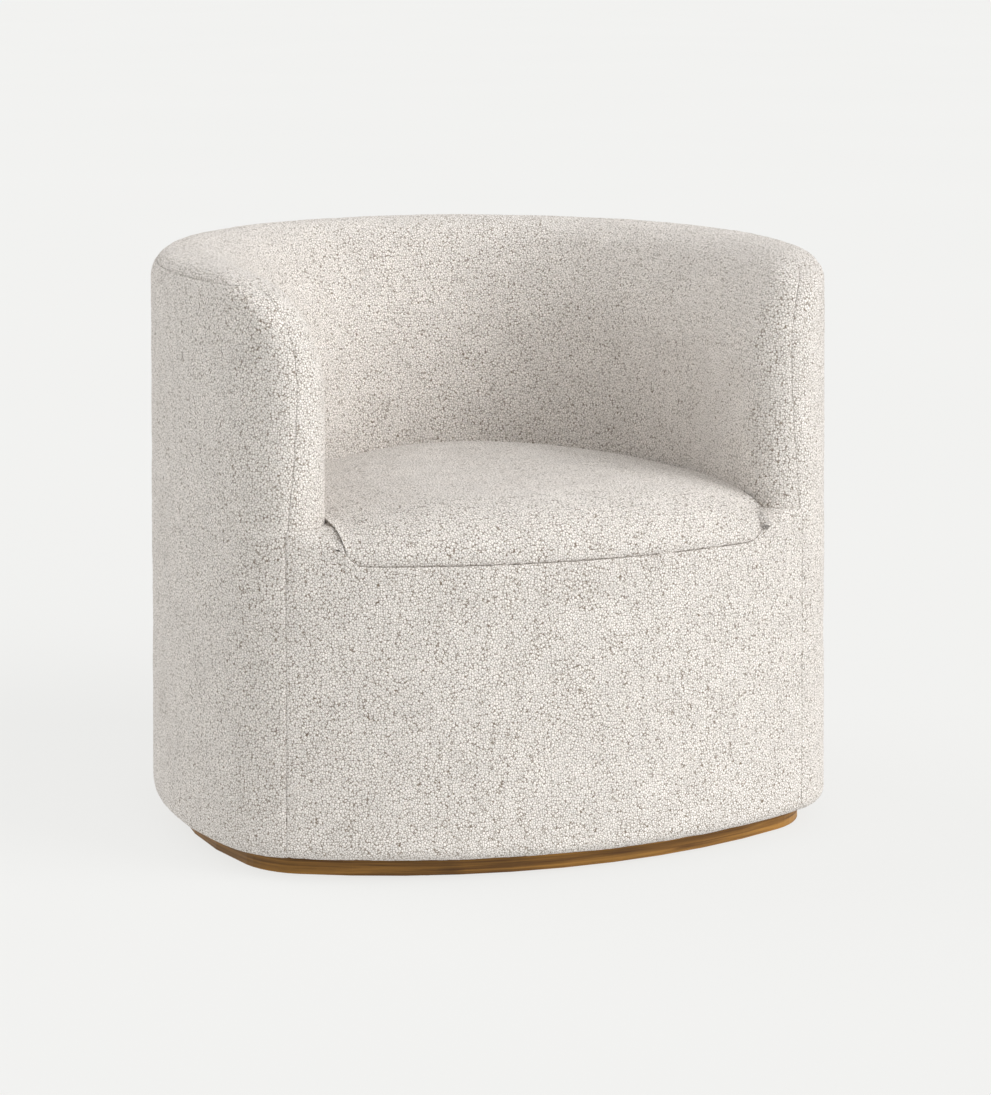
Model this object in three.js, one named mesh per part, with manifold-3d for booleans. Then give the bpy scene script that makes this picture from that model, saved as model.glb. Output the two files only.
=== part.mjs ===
// Upholstered tub armchair on a low wooden plinth.
// Millimetres, +Z up, front towards -Y. The origin is on the floor, under the middle of the chair.
// From the outside in, the wall is: woven cover, wadding, fibreboard, plywood and hardwood frame,
// inner board, foam, woven cover. The seat is foam on a cloth deck over zigzag springs.

import * as THREE from 'three';
import { mergeVertices } from 'three/addons/utils/BufferGeometryUtils.js';
import Module from 'manifold-3d';

const wasm = await Module();
wasm.setup();

// ---------------------------------------------------------------- driving dimensions
const HEIGHT = 710;              // floor to the top of the rim
const FLOOR_GAP = 2;             // glides lift the plinth by this much
const BODY_BOTTOM = 26;          // lower edge of the covers
const FLARE = 0.0406 / 1000;     // plan scale gained per mm of drop: the body is widest at the floor
const FLARE_LEVEL = 360;         // height at which the plan has its nominal size

// Half of the plan, from the middle of the front to the right: radius and turn of each arc.
// A last arc closes the curve at the middle of the back.
const PLAN_ARCS = [
  { radius: 702, turn: 26.8, steps: 5 },     // bowed front
  { radius: 131.5, turn: 43.4, steps: 6 },   // front corner
  { radius: 541, turn: 50, steps: 6 },       // side
];
const BACK_STEPS = 7;

const SKIN = 3;                  // woven cover with its pile
const GAP = 0.3;                 // clearance between touching pieces
const WADDING = 6.4;
const OUTER_BOARD = 4;
const RIB = 39.7;                // depth of the framed cavity in the wall
const INNER_BOARD = 3.7;

const SEAT_SEAM = 375;           // seam between the seat cover and the front cover
const ARM_BASE = 420;            // seam under the front of each arm
const SEAM_X = 322;              // vertical seams of the front cover
const SEAT_CROWN = 444;          // highest point of the seat

// The well is the room above the seat, between the arms.
const WELL_HALF_WIDTH = 265;
const WELL_TOP_HALF_WIDTH = 325;
const WELL_CENTRE_Y = -150;      // the sides run straight in front of this line
const WELL_BACK = 200;           // inner back at seat level
const WELL_TOP_BACK = 314;       // inner back at the rim
const ARM_CURVE_START = 567;     // above this the arms get thinner
const NOSE_RADIUS = 45;          // rounded front edge of each arm, beside the well
const NOSE_TOP_RADIUS = 33;
const ARM_FRONT = -200;          // the open front lies in front of this line

const PLY = 17.7;                // plywood thickness
const RAIL = 22;                 // hardwood rail thickness
const RAIL_TOP = 362;
const RAIL_BOTTOM = 292;
const RIM_FOAM = 26;

// Insets of the wall's layers from the outside of the cover
const WADDING_IN = SKIN + GAP;
const BOARD_IN = WADDING_IN + WADDING + GAP;
const FRAME_IN = BOARD_IN + OUTER_BOARD + GAP;
const LINER_IN = FRAME_IN + RIB + GAP;
const FOAM_IN = LINER_IN + INNER_BOARD + GAP;

// ---------------------------------------------------------------- materials
const material = (color, roughness, metalness = 0) =>
  new THREE.MeshStandardMaterial({ color, roughness, metalness });
const COVER = material(0xe1dad2, 0.95);
const FOAM = material(0xe8dca8, 0.9);
const WOOL = material(0xf2f0ea, 0.95);
const BOARD = material(0xa88b62, 0.8);
const HARDWOOD = material(0xc9a574, 0.65);
const PLYWOOD = material(0xd3b487, 0.7);
const WALNUT = material(0x8a5e30, 0.5);
const BLACK_CLOTH = material(0x232323, 0.95);
const STEEL = material(0x8f9499, 0.35, 1);
const NYLON = material(0x2b2b2b, 0.6);

// ---------------------------------------------------------------- plan outline
const radians = THREE.MathUtils.degToRad;
const outward = (heading) => new THREE.Vector2(Math.sin(heading), -Math.cos(heading));

// The arcs of the right half, each with its centre and its first and last heading
function planArcs() {
  const arcs = [];
  const point = new THREE.Vector2(0, 0);
  let heading = 0;
  for (const { radius, turn, steps } of PLAN_ARCS) {
    const centre = point.clone().addScaledVector(outward(heading), -radius);
    const end = heading + radians(turn);
    arcs.push({ radius, centre, start: heading, end, steps });
    point.copy(centre).addScaledVector(outward(end), radius);
    heading = end;
  }
  const radius = point.x / Math.sin(heading);
  const centre = point.clone().addScaledVector(outward(heading), -radius);
  arcs.push({ radius, centre, start: heading, end: Math.PI, steps: BACK_STEPS });
  const middle = (centre.y + radius) / 2;
  arcs.forEach((arc) => { arc.centre.y -= middle; });
  return arcs;
}
const ARCS = planArcs();

// Point of the plan where the outside faces `heading`, moved in by `inset`; x is mirrored by `side`
function planPoint(heading, inset, side = 1) {
  const arc = ARCS.find((candidate) => heading <= candidate.end) ?? ARCS.at(-1);
  const point = arc.centre.clone().addScaledVector(outward(heading), arc.radius - inset);
  return new THREE.Vector2(side * point.x, point.y);
}

function planOutline(inset) {
  const right = [];
  for (const { start, end, steps } of ARCS) {
    for (let i = 0; i < steps; i += 1) {
      right.push(planPoint(start + ((end - start) * i) / steps, inset));
    }
  }
  right.push(planPoint(Math.PI, inset));
  const left = right.slice(1, -1).reverse().map((p) => new THREE.Vector2(-p.x, p.y));
  return [...right, ...left];
}

// ---------------------------------------------------------------- solids
function toSolid(geometry) {
  const plain = geometry.clone();
  plain.deleteAttribute('normal');
  plain.deleteAttribute('uv');
  const merged = mergeVertices(plain, 1e-4);
  return new wasm.Manifold(new wasm.Mesh({
    numProp: 3,
    vertProperties: new Float32Array(merged.attributes.position.array),
    triVerts: new Uint32Array(merged.index.array),
  }));
}

function toGeometry(solid) {
  const { vertProperties, triVerts } = solid.getMesh();
  const geometry = new THREE.BufferGeometry();
  geometry.setAttribute('position', new THREE.BufferAttribute(new Float32Array(vertProperties), 3));
  geometry.setIndex(new THREE.BufferAttribute(new Uint32Array(triVerts), 1));
  geometry.computeVertexNormals();
  return geometry;
}

function reshape(geometry, move) {
  const position = geometry.attributes.position;
  const vertex = new THREE.Vector3();
  for (let i = 0; i < position.count; i += 1) {
    vertex.fromBufferAttribute(position, i);
    move(vertex);
    position.setXYZ(i, vertex.x, vertex.y, vertex.z);
  }
  return geometry;
}

// Everything leans with the walls, so clearances between layers stay the same at every height.
function flare(vertex) {
  const scale = 1 + FLARE * (FLARE_LEVEL - vertex.z);
  vertex.x *= scale;
  vertex.y *= scale;
}

function prism(points, bottom, top) {
  const depth = top - bottom;
  const geometry = new THREE.ExtrudeGeometry(new THREE.Shape(points), { depth, bevelEnabled: false });
  return toSolid(reshape(geometry.translate(0, 0, bottom), flare));
}

const body = (inset, bottom, top) => prism(planOutline(inset), bottom, top);

function band(outerInset, innerInset, bottom, top) {
  return body(outerInset, bottom, top).subtract(body(innerInset, bottom - 1, top + 1));
}

function block(x0, x1, y0, y1, z0, z1) {
  const geometry = new THREE.BoxGeometry(x1 - x0, y1 - y0, z1 - z0);
  return toSolid(geometry.translate((x0 + x1) / 2, (y0 + y1) / 2, (z0 + z1) / 2));
}

// Everything in front of ARM_FRONT and between x = -half and x = half
const frontSlot = (half, bottom, top) => block(-half, half, -HEIGHT, ARM_FRONT, bottom, top);

// ---------------------------------------------------------------- the well above the seat
const WELL_STEPS = 14;
const WELL_LEVELS = 7;
const WELL_SQUARENESS = 0.25;    // how much fuller than an ellipse the rim's inner curve is
const WELL_MOUTH = -500;         // the well is cut through the front, out to this line
const NOSE_STEPS = 6;
const NOSE_START = radians(6);   // the nose begins this much past the point where it touches the outline
const NOSE_CLEARANCE = 12;       // the cut goes on past the outline by this much

function wellHalfWidth(z) {
  const rise = Math.max(0, (z - ARM_CURVE_START) / (HEIGHT - ARM_CURVE_START));
  return THREE.MathUtils.lerp(WELL_HALF_WIDTH, WELL_TOP_HALF_WIDTH, rise ** 2);
}

// Heading in the front quarter where the outline, moved in by `inset`, is x from the middle
function headingAt(x, inset) {
  let low = 0;
  let high = Math.PI / 2;
  while (high - low > 1e-6) {
    const middle = (low + high) / 2;
    if (planPoint(middle, inset).x < x) {
      low = middle;
    } else {
      high = middle;
    }
  }
  return low;
}

function wellBack(z) {
  const rise = Math.max(0, (z - SEAT_SEAM) / (HEIGHT - SEAT_SEAM));
  return THREE.MathUtils.lerp(WELL_BACK, WELL_TOP_BACK, (rise + rise ** 2) / 2);
}

// Right half of the well's plan at height z, from the mouth in front, round the nose of the arm
// and along its inside to the middle of the back
function wellHalfPlan(z, grow) {
  const halfWidth = wellHalfWidth(z);
  const fade = THREE.MathUtils.smoothstep(z, ARM_CURVE_START, HEIGHT);
  const radius = THREE.MathUtils.lerp(NOSE_RADIUS, NOSE_TOP_RADIUS, fade);
  const touch = headingAt(halfWidth + radius, radius);
  const centre = planPoint(touch, radius);
  const start = touch - NOSE_START + grow / radius;
  const onNose = (heading, reach) => centre.clone().addScaledVector(outward(heading), reach);
  const corner = onNose(start, radius + NOSE_CLEARANCE);
  const plan = [new THREE.Vector2(corner.x, WELL_MOUTH), corner];
  for (let i = 0; i <= NOSE_STEPS; i += 1) {
    const heading = THREE.MathUtils.lerp(start, -Math.PI / 2, i / NOSE_STEPS);
    plan.push(onNose(heading, radius - grow));
  }
  const rise = THREE.MathUtils.clamp((z - SEAT_SEAM) / (HEIGHT - SEAT_SEAM), 0, 1);
  const power = 1 / (1 + WELL_SQUARENESS * rise);
  const depth = wellBack(z) + grow - WELL_CENTRE_Y;
  for (let i = 0; i <= WELL_STEPS / 2; i += 1) {
    const angle = (Math.PI * i) / WELL_STEPS;
    const across = i < WELL_STEPS / 2 ? Math.cos(angle) ** power : 0;
    plan.push(new THREE.Vector2(across * (halfWidth + grow), WELL_CENTRE_Y + Math.sin(angle) ** power * depth));
  }
  return plan;
}

function wellPlan(z, grow) {
  const right = wellHalfPlan(z, grow);
  const left = right.slice(0, -1).reverse().map((p) => new THREE.Vector2(-p.x, p.y));
  return [...right, ...left];
}

// The plan at the bottom is extruded, and each level is then moved to its own plan.
function well(grow, bottom, top) {
  const base = wellPlan(bottom, grow);
  const options = { depth: top - bottom, steps: WELL_LEVELS, bevelEnabled: false };
  const geometry = new THREE.ExtrudeGeometry(new THREE.Shape(base), options);
  const plans = new Map();
  reshape(geometry.translate(0, 0, bottom), (vertex) => {
    const index = base.findIndex((p) => Math.hypot(p.x - vertex.x, p.y - vertex.y) < 1e-3);
    if (!plans.has(vertex.z)) {
      plans.set(vertex.z, wellPlan(vertex.z, grow));
    }
    const { x, y } = plans.get(vertex.z)[index];
    vertex.set(x, y, vertex.z);
    flare(vertex);
  });
  return toSolid(geometry);
}

const fullWell = (grow) => well(grow, SEAT_SEAM, HEIGHT + 10);

// The part of the well beside the arms, above the seams at their base
function armWell(grow) {
  return fullWell(grow).intersect(block(-HEIGHT, HEIGHT, -HEIGHT, HEIGHT, ARM_BASE, 2 * HEIGHT));
}

// ---------------------------------------------------------------- the assembly
const chair = new THREE.Group();

function add(name, solid, finish) {
  const mesh = new THREE.Mesh(toGeometry(solid), finish);
  mesh.name = name;
  chair.add(mesh);
}

const SIDES = [{ side: -1, word: 'left' }, { side: 1, word: 'right' }];

// ---------------------------------------------------------------- plinth, glides and screws
const PLINTH_INSET = 32.3;
const PLINTH_RIM = 20;
const PLINTH_TOP = 28;
const PLINTH_BOARD_BOTTOM = 10;
const DUST_COVER_BOTTOM = PLINTH_TOP + GAP;
const DUST_COVER_TOP = DUST_COVER_BOTTOM + 1.4;
const FRAME_BOTTOM = DUST_COVER_TOP + GAP;
const FRAME_TOP = FRAME_BOTTOM + PLY;
const BOTTOM_RING_WIDTH = 62;
const STATIONS = { front: 14, side: 88, back: 150 };   // headings of glides and plinth screws
const SCREW_INSET = 64;
const SCREW_RADIUS = 3;
const HEAD_RADIUS = 6;
const ROUND = 12;

function disc(radius, x, y, bottom, top) {
  const geometry = new THREE.CylinderGeometry(radius, radius, top - bottom, ROUND);
  return toSolid(geometry.rotateX(Math.PI / 2).translate(x, y, (top + bottom) / 2));
}

function addPlinth() {
  const inner = PLINTH_INSET + PLINTH_RIM;
  let board = body(inner + GAP, PLINTH_BOARD_BOTTOM, PLINTH_TOP);
  let dustCover = body(FRAME_IN + 2, DUST_COVER_BOTTOM, DUST_COVER_TOP);
  let ring = band(FRAME_IN, FRAME_IN + BOTTOM_RING_WIDTH, FRAME_BOTTOM, FRAME_TOP);
  for (const { side, word } of SIDES) {
    for (const [station, degrees] of Object.entries(STATIONS)) {
      const heading = radians(degrees);
      const foot = planPoint(heading, PLINTH_INSET + PLINTH_RIM / 2, side);
      add(`glide_${station}_${word}`, disc(9, foot.x, foot.y, 0, FLOOR_GAP - GAP), NYLON);

      const { x, y } = planPoint(heading, SCREW_INSET, side);
      const headTop = PLINTH_BOARD_BOTTOM - GAP;
      const tip = FRAME_TOP - 4;
      const hole = disc(SCREW_RADIUS + GAP, x, y, PLINTH_BOARD_BOTTOM - 1, tip + GAP);
      const shank = disc(SCREW_RADIUS, x, y, headTop - 1, tip);
      add(`plinth_screw_${station}_${word}`, disc(HEAD_RADIUS, x, y, headTop - 3, headTop).add(shank), STEEL);
      board = board.subtract(hole);
      dustCover = dustCover.subtract(hole);
      ring = ring.subtract(hole);
    }
  }
  add('plinth_rim', band(PLINTH_INSET, inner, FLOOR_GAP, PLINTH_TOP), WALNUT);
  add('plinth_board', board, PLYWOOD);
  add('dust_cover', dustCover, BLACK_CLOTH);
  add('bottom_ring', ring, PLYWOOD);
  const ringOpening = body(FRAME_IN + BOTTOM_RING_WIDTH + GAP, FRAME_BOTTOM, FRAME_TOP);
  add('bottom_brace', block(-HEIGHT, HEIGHT, -35, 35, FRAME_BOTTOM, FRAME_TOP).intersect(ringOpening), PLYWOOD);
}

// ---------------------------------------------------------------- frame
const RIM_FOAM_BOTTOM = HEIGHT - SKIN - GAP - RIM_FOAM;
const TOP_RING_TOP = RIM_FOAM_BOTTOM - GAP;
const TOP_RING_BOTTOM = TOP_RING_TOP - PLY;
const POST_DEPTH = 32;
const POST_WIDTH = 40;
const POST_INSET = 36;
const POSTS = { front: 66, side: 95, back: 150 };      // headings of the upright posts
const STUD_HEADING = 12;
const SIDE_RAIL_X = 322;
const SIDE_RAIL_FRONT = -214;
const SIDE_RAIL_BACK = 150;
const FRONT_RAIL_DEPTH = 34;
const FRONT_RAIL_HALF = 262;
const BACK_RAIL_Y = 262;
const BACK_RAIL_HALF = 190;

function upright(heading, side, inset, bottom, top) {
  const geometry = new THREE.BoxGeometry(POST_DEPTH, POST_WIDTH, top - bottom);
  const { x, y } = planPoint(heading, inset, side);
  geometry.rotateZ(Math.atan2(-Math.cos(heading), side * Math.sin(heading)));
  return toSolid(reshape(geometry.translate(x, y, (top + bottom) / 2), flare));
}

function addFrame() {
  const bottom = FRAME_TOP + GAP;
  for (const { side, word } of SIDES) {
    for (const [place, degrees] of Object.entries(POSTS)) {
      const post = upright(radians(degrees), side, POST_INSET, bottom, TOP_RING_BOTTOM - GAP);
      add(`${place}_post_${word}`, post, HARDWOOD);
    }
    const stud = upright(radians(STUD_HEADING), side, POST_INSET, bottom, RAIL_BOTTOM - GAP);
    add(`front_stud_${word}`, stud, HARDWOOD);
    const edges = [side * SIDE_RAIL_X, side * (SIDE_RAIL_X + RAIL)].sort((a, b) => a - b);
    const rail = block(...edges, SIDE_RAIL_FRONT, SIDE_RAIL_BACK, RAIL_BOTTOM, RAIL_TOP);
    add(`side_rail_${word}`, rail, HARDWOOD);
  }
  const frontRail = band(FRAME_IN, FRAME_IN + FRONT_RAIL_DEPTH, RAIL_BOTTOM, RAIL_TOP)
    .intersect(frontSlot(FRONT_RAIL_HALF, 0, HEIGHT));
  add('front_rail', frontRail, HARDWOOD);
  const backRail = block(-BACK_RAIL_HALF, BACK_RAIL_HALF, BACK_RAIL_Y, BACK_RAIL_Y + RAIL, RAIL_BOTTOM, RAIL_TOP);
  add('back_rail', backRail, HARDWOOD);
  const topRing = band(FRAME_IN, FRAME_IN + RIB, TOP_RING_BOTTOM, TOP_RING_TOP).subtract(armWell(FRAME_IN));
  add('top_ring', topRing, PLYWOOD);
}

function addBoards() {
  const bottom = FRAME_BOTTOM;
  const outer = band(BOARD_IN, BOARD_IN + OUTER_BOARD, bottom, TOP_RING_TOP)
    .subtract(frontSlot(SEAM_X, 0, HEIGHT)).subtract(armWell(FRAME_IN));
  add('outer_board', outer, BOARD);
  const front = band(BOARD_IN, BOARD_IN + OUTER_BOARD, bottom, RAIL_TOP)
    .intersect(frontSlot(SEAM_X - GAP, 0, HEIGHT));
  add('front_board', front, BOARD);
  const liner = band(LINER_IN, LINER_IN + INNER_BOARD, SEAT_SEAM + 10, TOP_RING_TOP)
    .subtract(frontSlot(WELL_TOP_HALF_WIDTH, 0, HEIGHT)).subtract(fullWell(FRAME_IN));
  add('inner_board', liner, BOARD);
}

// ---------------------------------------------------------------- seat suspension
const WIRE = 1.9;
const WIRE_SIDES = 5;
const SPRING_XS = [-168, -56, 56, 168];
const SPRING_BACK = 268;
const HALF_WAVES = 18;
const SPRING_STEPS = 60;
const WAVE_WIDTH = 22;
const WIRE_END = 9;
const CLIP_GAP = 1;
const CLIP_WALL = 1;
const CLIP_WIDTH = 14;
const WIRE_Z = RAIL_TOP + GAP + CLIP_WALL + CLIP_GAP + WIRE;
const DECK_BOTTOM = WIRE_Z + WIRE + CLIP_GAP + CLIP_WALL + GAP;
const DECK_TOP = DECK_BOTTOM + 1.5;

const frontInnerY = (x) => ARCS[0].centre.y - Math.sqrt((ARCS[0].radius - FRAME_IN) ** 2 - x * x);

// The wire's ends lie straight across the seat, in the clips; the zigzag runs between them.
function zigzagSpring(x, front) {
  const pitch = (SPRING_BACK - front) / HALF_WAVES;
  const at = (across, along) => new THREE.Vector3(x + across, front + along * pitch, WIRE_Z);
  const points = [at(-WAVE_WIDTH, 0), at(-WIRE_END, 0), at(WIRE_END, 0), at(WAVE_WIDTH, 0.3)];
  for (let i = 1; i < HALF_WAVES; i += 1) {
    points.push(at(i % 2 ? -WAVE_WIDTH : WAVE_WIDTH, i));
  }
  points.push(at(WAVE_WIDTH, HALF_WAVES - 0.3), at(WIRE_END, HALF_WAVES));
  points.push(at(-WIRE_END, HALF_WAVES), at(-WAVE_WIDTH, HALF_WAVES));
  const path = new THREE.CatmullRomCurve3(points, false, 'catmullrom', 0.5);
  const section = new THREE.Shape();
  section.moveTo(WIRE, 0);
  for (let i = 1; i < WIRE_SIDES; i += 1) {
    const angle = (2 * Math.PI * i) / WIRE_SIDES;
    section.lineTo(WIRE * Math.cos(angle), WIRE * Math.sin(angle));
  }
  const options = { steps: SPRING_STEPS, extrudePath: path, bevelEnabled: false };
  return toSolid(new THREE.ExtrudeGeometry(section, options));
}

// A C-shaped clip around the end of a spring, open towards the middle of the seat
function springClip(x, y, facing) {
  const inner = WIRE + CLIP_GAP;
  const outer = inner + CLIP_WALL;
  const mouth = 2 * facing;
  const profile = new THREE.Shape();
  profile.moveTo(mouth, -outer);
  profile.lineTo(mouth, -inner);
  profile.lineTo(-inner * facing, -inner);
  profile.lineTo(-inner * facing, inner);
  profile.lineTo(mouth, inner);
  profile.lineTo(mouth, outer);
  profile.lineTo(-outer * facing, outer);
  profile.lineTo(-outer * facing, -outer);
  const geometry = new THREE.ExtrudeGeometry(profile, { depth: CLIP_WIDTH, bevelEnabled: false });
  // the profile's x becomes the chair's y and its y becomes z
  geometry.rotateX(Math.PI / 2).rotateZ(Math.PI / 2).translate(x - CLIP_WIDTH / 2, y, WIRE_Z);
  return toSolid(geometry);
}

function addSuspension() {
  SPRING_XS.forEach((x, index) => {
    const front = frontInnerY(x) + 12;
    add(`seat_spring_${index + 1}`, zigzagSpring(x, front), STEEL);
    const ends = [{ y: front, facing: 1, word: 'front' }, { y: SPRING_BACK, facing: -1, word: 'back' }];
    for (const { y, facing, word } of ends) {
      add(`spring_clip_${word}_${index + 1}`, springClip(x, y, facing), STEEL);
    }
  });
  const deck = body(FRAME_IN + 2, DECK_BOTTOM, DECK_TOP)
    .intersect(well(20, DECK_BOTTOM - 5, DECK_TOP + 5));
  add('seat_deck_cloth', deck, BLACK_CLOTH);
}

// ---------------------------------------------------------------- padding
const SEAT_EDGE_DROP = 30;       // the crown falls by this much to the edges beside the walls
const SEAT_ROLL = 100;           // depth of the rounded front of the seat
const SEAT_SPREAD = 190;         // the crown rises over this distance from the walls
const CROWN_STEPS = 7;

// How far a quarter-round of this depth stands back at a height between its foot and its top
function roundBack(z, foot, top, depth) {
  const climb = THREE.MathUtils.clamp((z - foot) / (top - foot), 0, 1);
  return depth * (1 - Math.sqrt(1 - climb ** 2));
}

// Plan of the seat at height z. `inset` is the room left to the well's sides, `frontInset` to the
// outside of the front, whose facets the lower levels follow.
function seatPlan(z, inset, frontInset, top) {
  const back = roundBack(z, top - SEAT_EDGE_DROP, top, SEAT_SPREAD);
  const half = WELL_HALF_WIDTH - inset - back;
  const frontArc = ARCS[0];
  const radius = frontArc.radius - frontInset - roundBack(z, SEAT_SEAM, top, SEAT_ROLL);
  const facet = frontArc.end / frontArc.steps;
  const reach = Math.asin(half / radius) / Math.asin(WELL_HALF_WIDTH / frontArc.radius);
  const sides = Math.floor(WELL_HALF_WIDTH / (frontArc.radius * facet));
  const onFront = (i) => frontArc.centre.clone().addScaledVector(outward(i * facet * reach), radius);
  const inner = onFront(sides);
  const next = onFront(sides + 1);
  const end = inner.clone().lerp(next, (half - inner.x) / (next.x - inner.x));
  const plan = [new THREE.Vector2(-end.x, end.y)];
  for (let i = -sides; i <= sides; i += 1) {
    plan.push(onFront(i));
  }
  plan.push(end);
  const depth = WELL_BACK - WELL_CENTRE_Y - inset - back;
  for (let i = 0; i <= WELL_STEPS; i += 1) {
    const angle = (Math.PI * i) / WELL_STEPS;
    plan.push(new THREE.Vector2(half * Math.cos(angle), WELL_CENTRE_Y + depth * Math.sin(angle)));
  }
  return plan;
}

// A straight-sided block under a crown, with a rounded front
function seatSolid(inset, frontInset, top, bottom) {
  const levels = [bottom];
  for (let i = 1; i <= CROWN_STEPS; i += 1) {
    levels.push(THREE.MathUtils.lerp(SEAT_SEAM, top, Math.sin((Math.PI / 2) * (i / CROWN_STEPS))));
  }
  const base = seatPlan(bottom, inset, frontInset, top);
  const options = { depth: CROWN_STEPS, steps: CROWN_STEPS, bevelEnabled: false };
  const plans = levels.map((z) => seatPlan(z, inset, frontInset, top));
  return toSolid(reshape(new THREE.ExtrudeGeometry(new THREE.Shape(base), options), (vertex) => {
    const level = Math.round(vertex.z);
    const index = base.findIndex((p) => Math.hypot(p.x - vertex.x, p.y - vertex.y) < 1e-3);
    const { x, y } = plans[level][index];
    vertex.set(x, y, levels[level]);
    flare(vertex);
  }));
}

function addPadding() {
  const wallTop = TOP_RING_TOP;
  const clear = fullWell(WADDING_IN);
  const wadding = band(WADDING_IN, WADDING_IN + WADDING, BODY_BOTTOM + SKIN, wallTop)
    .subtract(frontSlot(SEAM_X, 0, ARM_BASE))
    .subtract(armWell(WADDING_IN));
  add('outside_wadding', wadding, WOOL);
  const frontWadding = band(WADDING_IN, WADDING_IN + WADDING, BODY_BOTTOM + SKIN, DECK_TOP)
    .intersect(frontSlot(SEAM_X - GAP, 0, HEIGHT));
  add('front_wadding', frontWadding, WOOL);
  const wallFoam = body(FOAM_IN, SEAT_SEAM + 10, wallTop).subtract(clear);
  add('inside_foam', wallFoam, FOAM);
  const rim = body(WADDING_IN, RIM_FOAM_BOTTOM, HEIGHT - SKIN - GAP).subtract(clear);
  add('rim_foam', rim, FOAM);
  const seat = seatSolid(GAP + WADDING_IN, WADDING_IN, SEAT_CROWN - WADDING_IN, DECK_TOP + GAP);
  add('seat_foam', seat, FOAM);
}

// ---------------------------------------------------------------- covers
function addCovers() {
  const top = HEIGHT - SKIN - GAP;
  const hollow = fullWell(0);
  const outside = band(0, SKIN, BODY_BOTTOM, top).subtract(frontSlot(SEAM_X, 0, HEIGHT))
    .subtract(armWell(WADDING_IN));
  add('outside_cover', outside, COVER);
  const front = band(0, SKIN, BODY_BOTTOM, ARM_BASE - GAP)
    .intersect(frontSlot(SEAM_X - GAP, 0, HEIGHT))
    .subtract(frontSlot(WELL_HALF_WIDTH + SKIN, SEAT_SEAM - GAP, HEIGHT));
  add('front_cover', front, COVER);
  const lining = body(0, SEAT_SEAM + 10, top).intersect(fullWell(SKIN)).subtract(hollow)
    .subtract(frontSlot(HEIGHT, 0, ARM_BASE));
  add('inside_cover', lining, COVER);
  const rim = body(0, HEIGHT - SKIN, HEIGHT).subtract(hollow);
  add('rim_cover', rim, COVER);
  const seat = seatSolid(GAP, 0, SEAT_CROWN, SEAT_SEAM)
    .subtract(seatSolid(GAP + SKIN, SKIN, SEAT_CROWN - SKIN, SEAT_SEAM - 1));
  add('seat_cover', seat, COVER);
}

addPlinth();
addFrame();
addBoards();
addSuspension();
addPadding();
addCovers();

export default chair;
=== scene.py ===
"""Looks of the upholstered tub armchair: woven loop-fabric panels, seat cushion, wooden plinth."""

import itertools
import math

import bpy
import mathutils
import numpy as np
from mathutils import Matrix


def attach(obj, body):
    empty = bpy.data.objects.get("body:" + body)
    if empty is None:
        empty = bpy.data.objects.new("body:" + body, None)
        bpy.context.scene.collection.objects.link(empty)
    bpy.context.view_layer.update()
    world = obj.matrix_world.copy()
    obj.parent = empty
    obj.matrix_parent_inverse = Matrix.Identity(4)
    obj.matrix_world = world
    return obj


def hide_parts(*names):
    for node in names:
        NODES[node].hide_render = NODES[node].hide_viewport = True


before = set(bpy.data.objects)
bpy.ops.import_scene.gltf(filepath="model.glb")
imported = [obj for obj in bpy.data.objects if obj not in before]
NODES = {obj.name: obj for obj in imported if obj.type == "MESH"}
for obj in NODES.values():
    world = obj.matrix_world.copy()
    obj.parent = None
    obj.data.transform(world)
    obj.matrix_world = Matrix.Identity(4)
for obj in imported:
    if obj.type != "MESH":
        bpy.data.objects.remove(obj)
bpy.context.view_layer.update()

# ---------------------------------------------------------------- camera
CAMERA_AZIMUTH = math.radians(18.0057)
CAMERA_PITCH = math.radians(11.3025)
CAMERA_DISTANCE = 4.1277
CAMERA_TARGET = mathutils.Vector((0.0355, 0.0, 0.3171))
FOCAL_LENGTH = 105.96
SENSOR = 36.0


def add_camera():
    look = mathutils.Vector((
        math.sin(CAMERA_AZIMUTH) * math.cos(CAMERA_PITCH),
        math.cos(CAMERA_AZIMUTH) * math.cos(CAMERA_PITCH),
        -math.sin(CAMERA_PITCH),
    ))
    data = bpy.data.cameras.new("camera")
    data.lens = FOCAL_LENGTH
    data.sensor_width = SENSOR
    camera = bpy.data.objects.new("camera", data)
    camera.location = CAMERA_TARGET - CAMERA_DISTANCE * look
    camera.rotation_euler = look.to_track_quat("-Z", "Y").to_euler()
    bpy.context.scene.collection.objects.link(camera)
    bpy.context.scene.camera = camera


# ---------------------------------------------------------------- body dimensions
HEIGHT = 0.71
BODY_BOTTOM = 0.026
FLARE = 0.0406               # plan scale gained per metre of drop
FLARE_LEVEL = 0.36           # height at which the plan has its true size
ARC_RADII = (0.702, 0.1315, 0.541)   # arcs of the plan's right half, from the middle of the front
ARC_TURNS = (26.8, 43.4, 50.0)       # degrees; a fourth arc closes the back

TOP_ROUND = 0.031            # radius of the rim's edges
BOTTOM_ROUND = 0.016
UNDERTURN = 0.024            # the fabric turned under the body
SEAM_ANGLE = math.radians(36)  # place of the rim seam on the rounded edge

WELL_HALF_WIDTH = 0.265      # room between the arms, at the seat and at the rim
WELL_TOP_HALF_WIDTH = 0.325
WELL_CENTRE_Y = -0.150       # where the curve of the inner back starts
WELL_BACK = 0.200            # y of the inner back, at the seat and at the rim
WELL_TOP_BACK = 0.314
WELL_SQUARENESS = 0.25       # how far the inner back's curve fills its corners at the rim
ARM_CURVE_START = 0.567      # height above which the arms thin out
SEAT_LEVEL = 0.375

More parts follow.
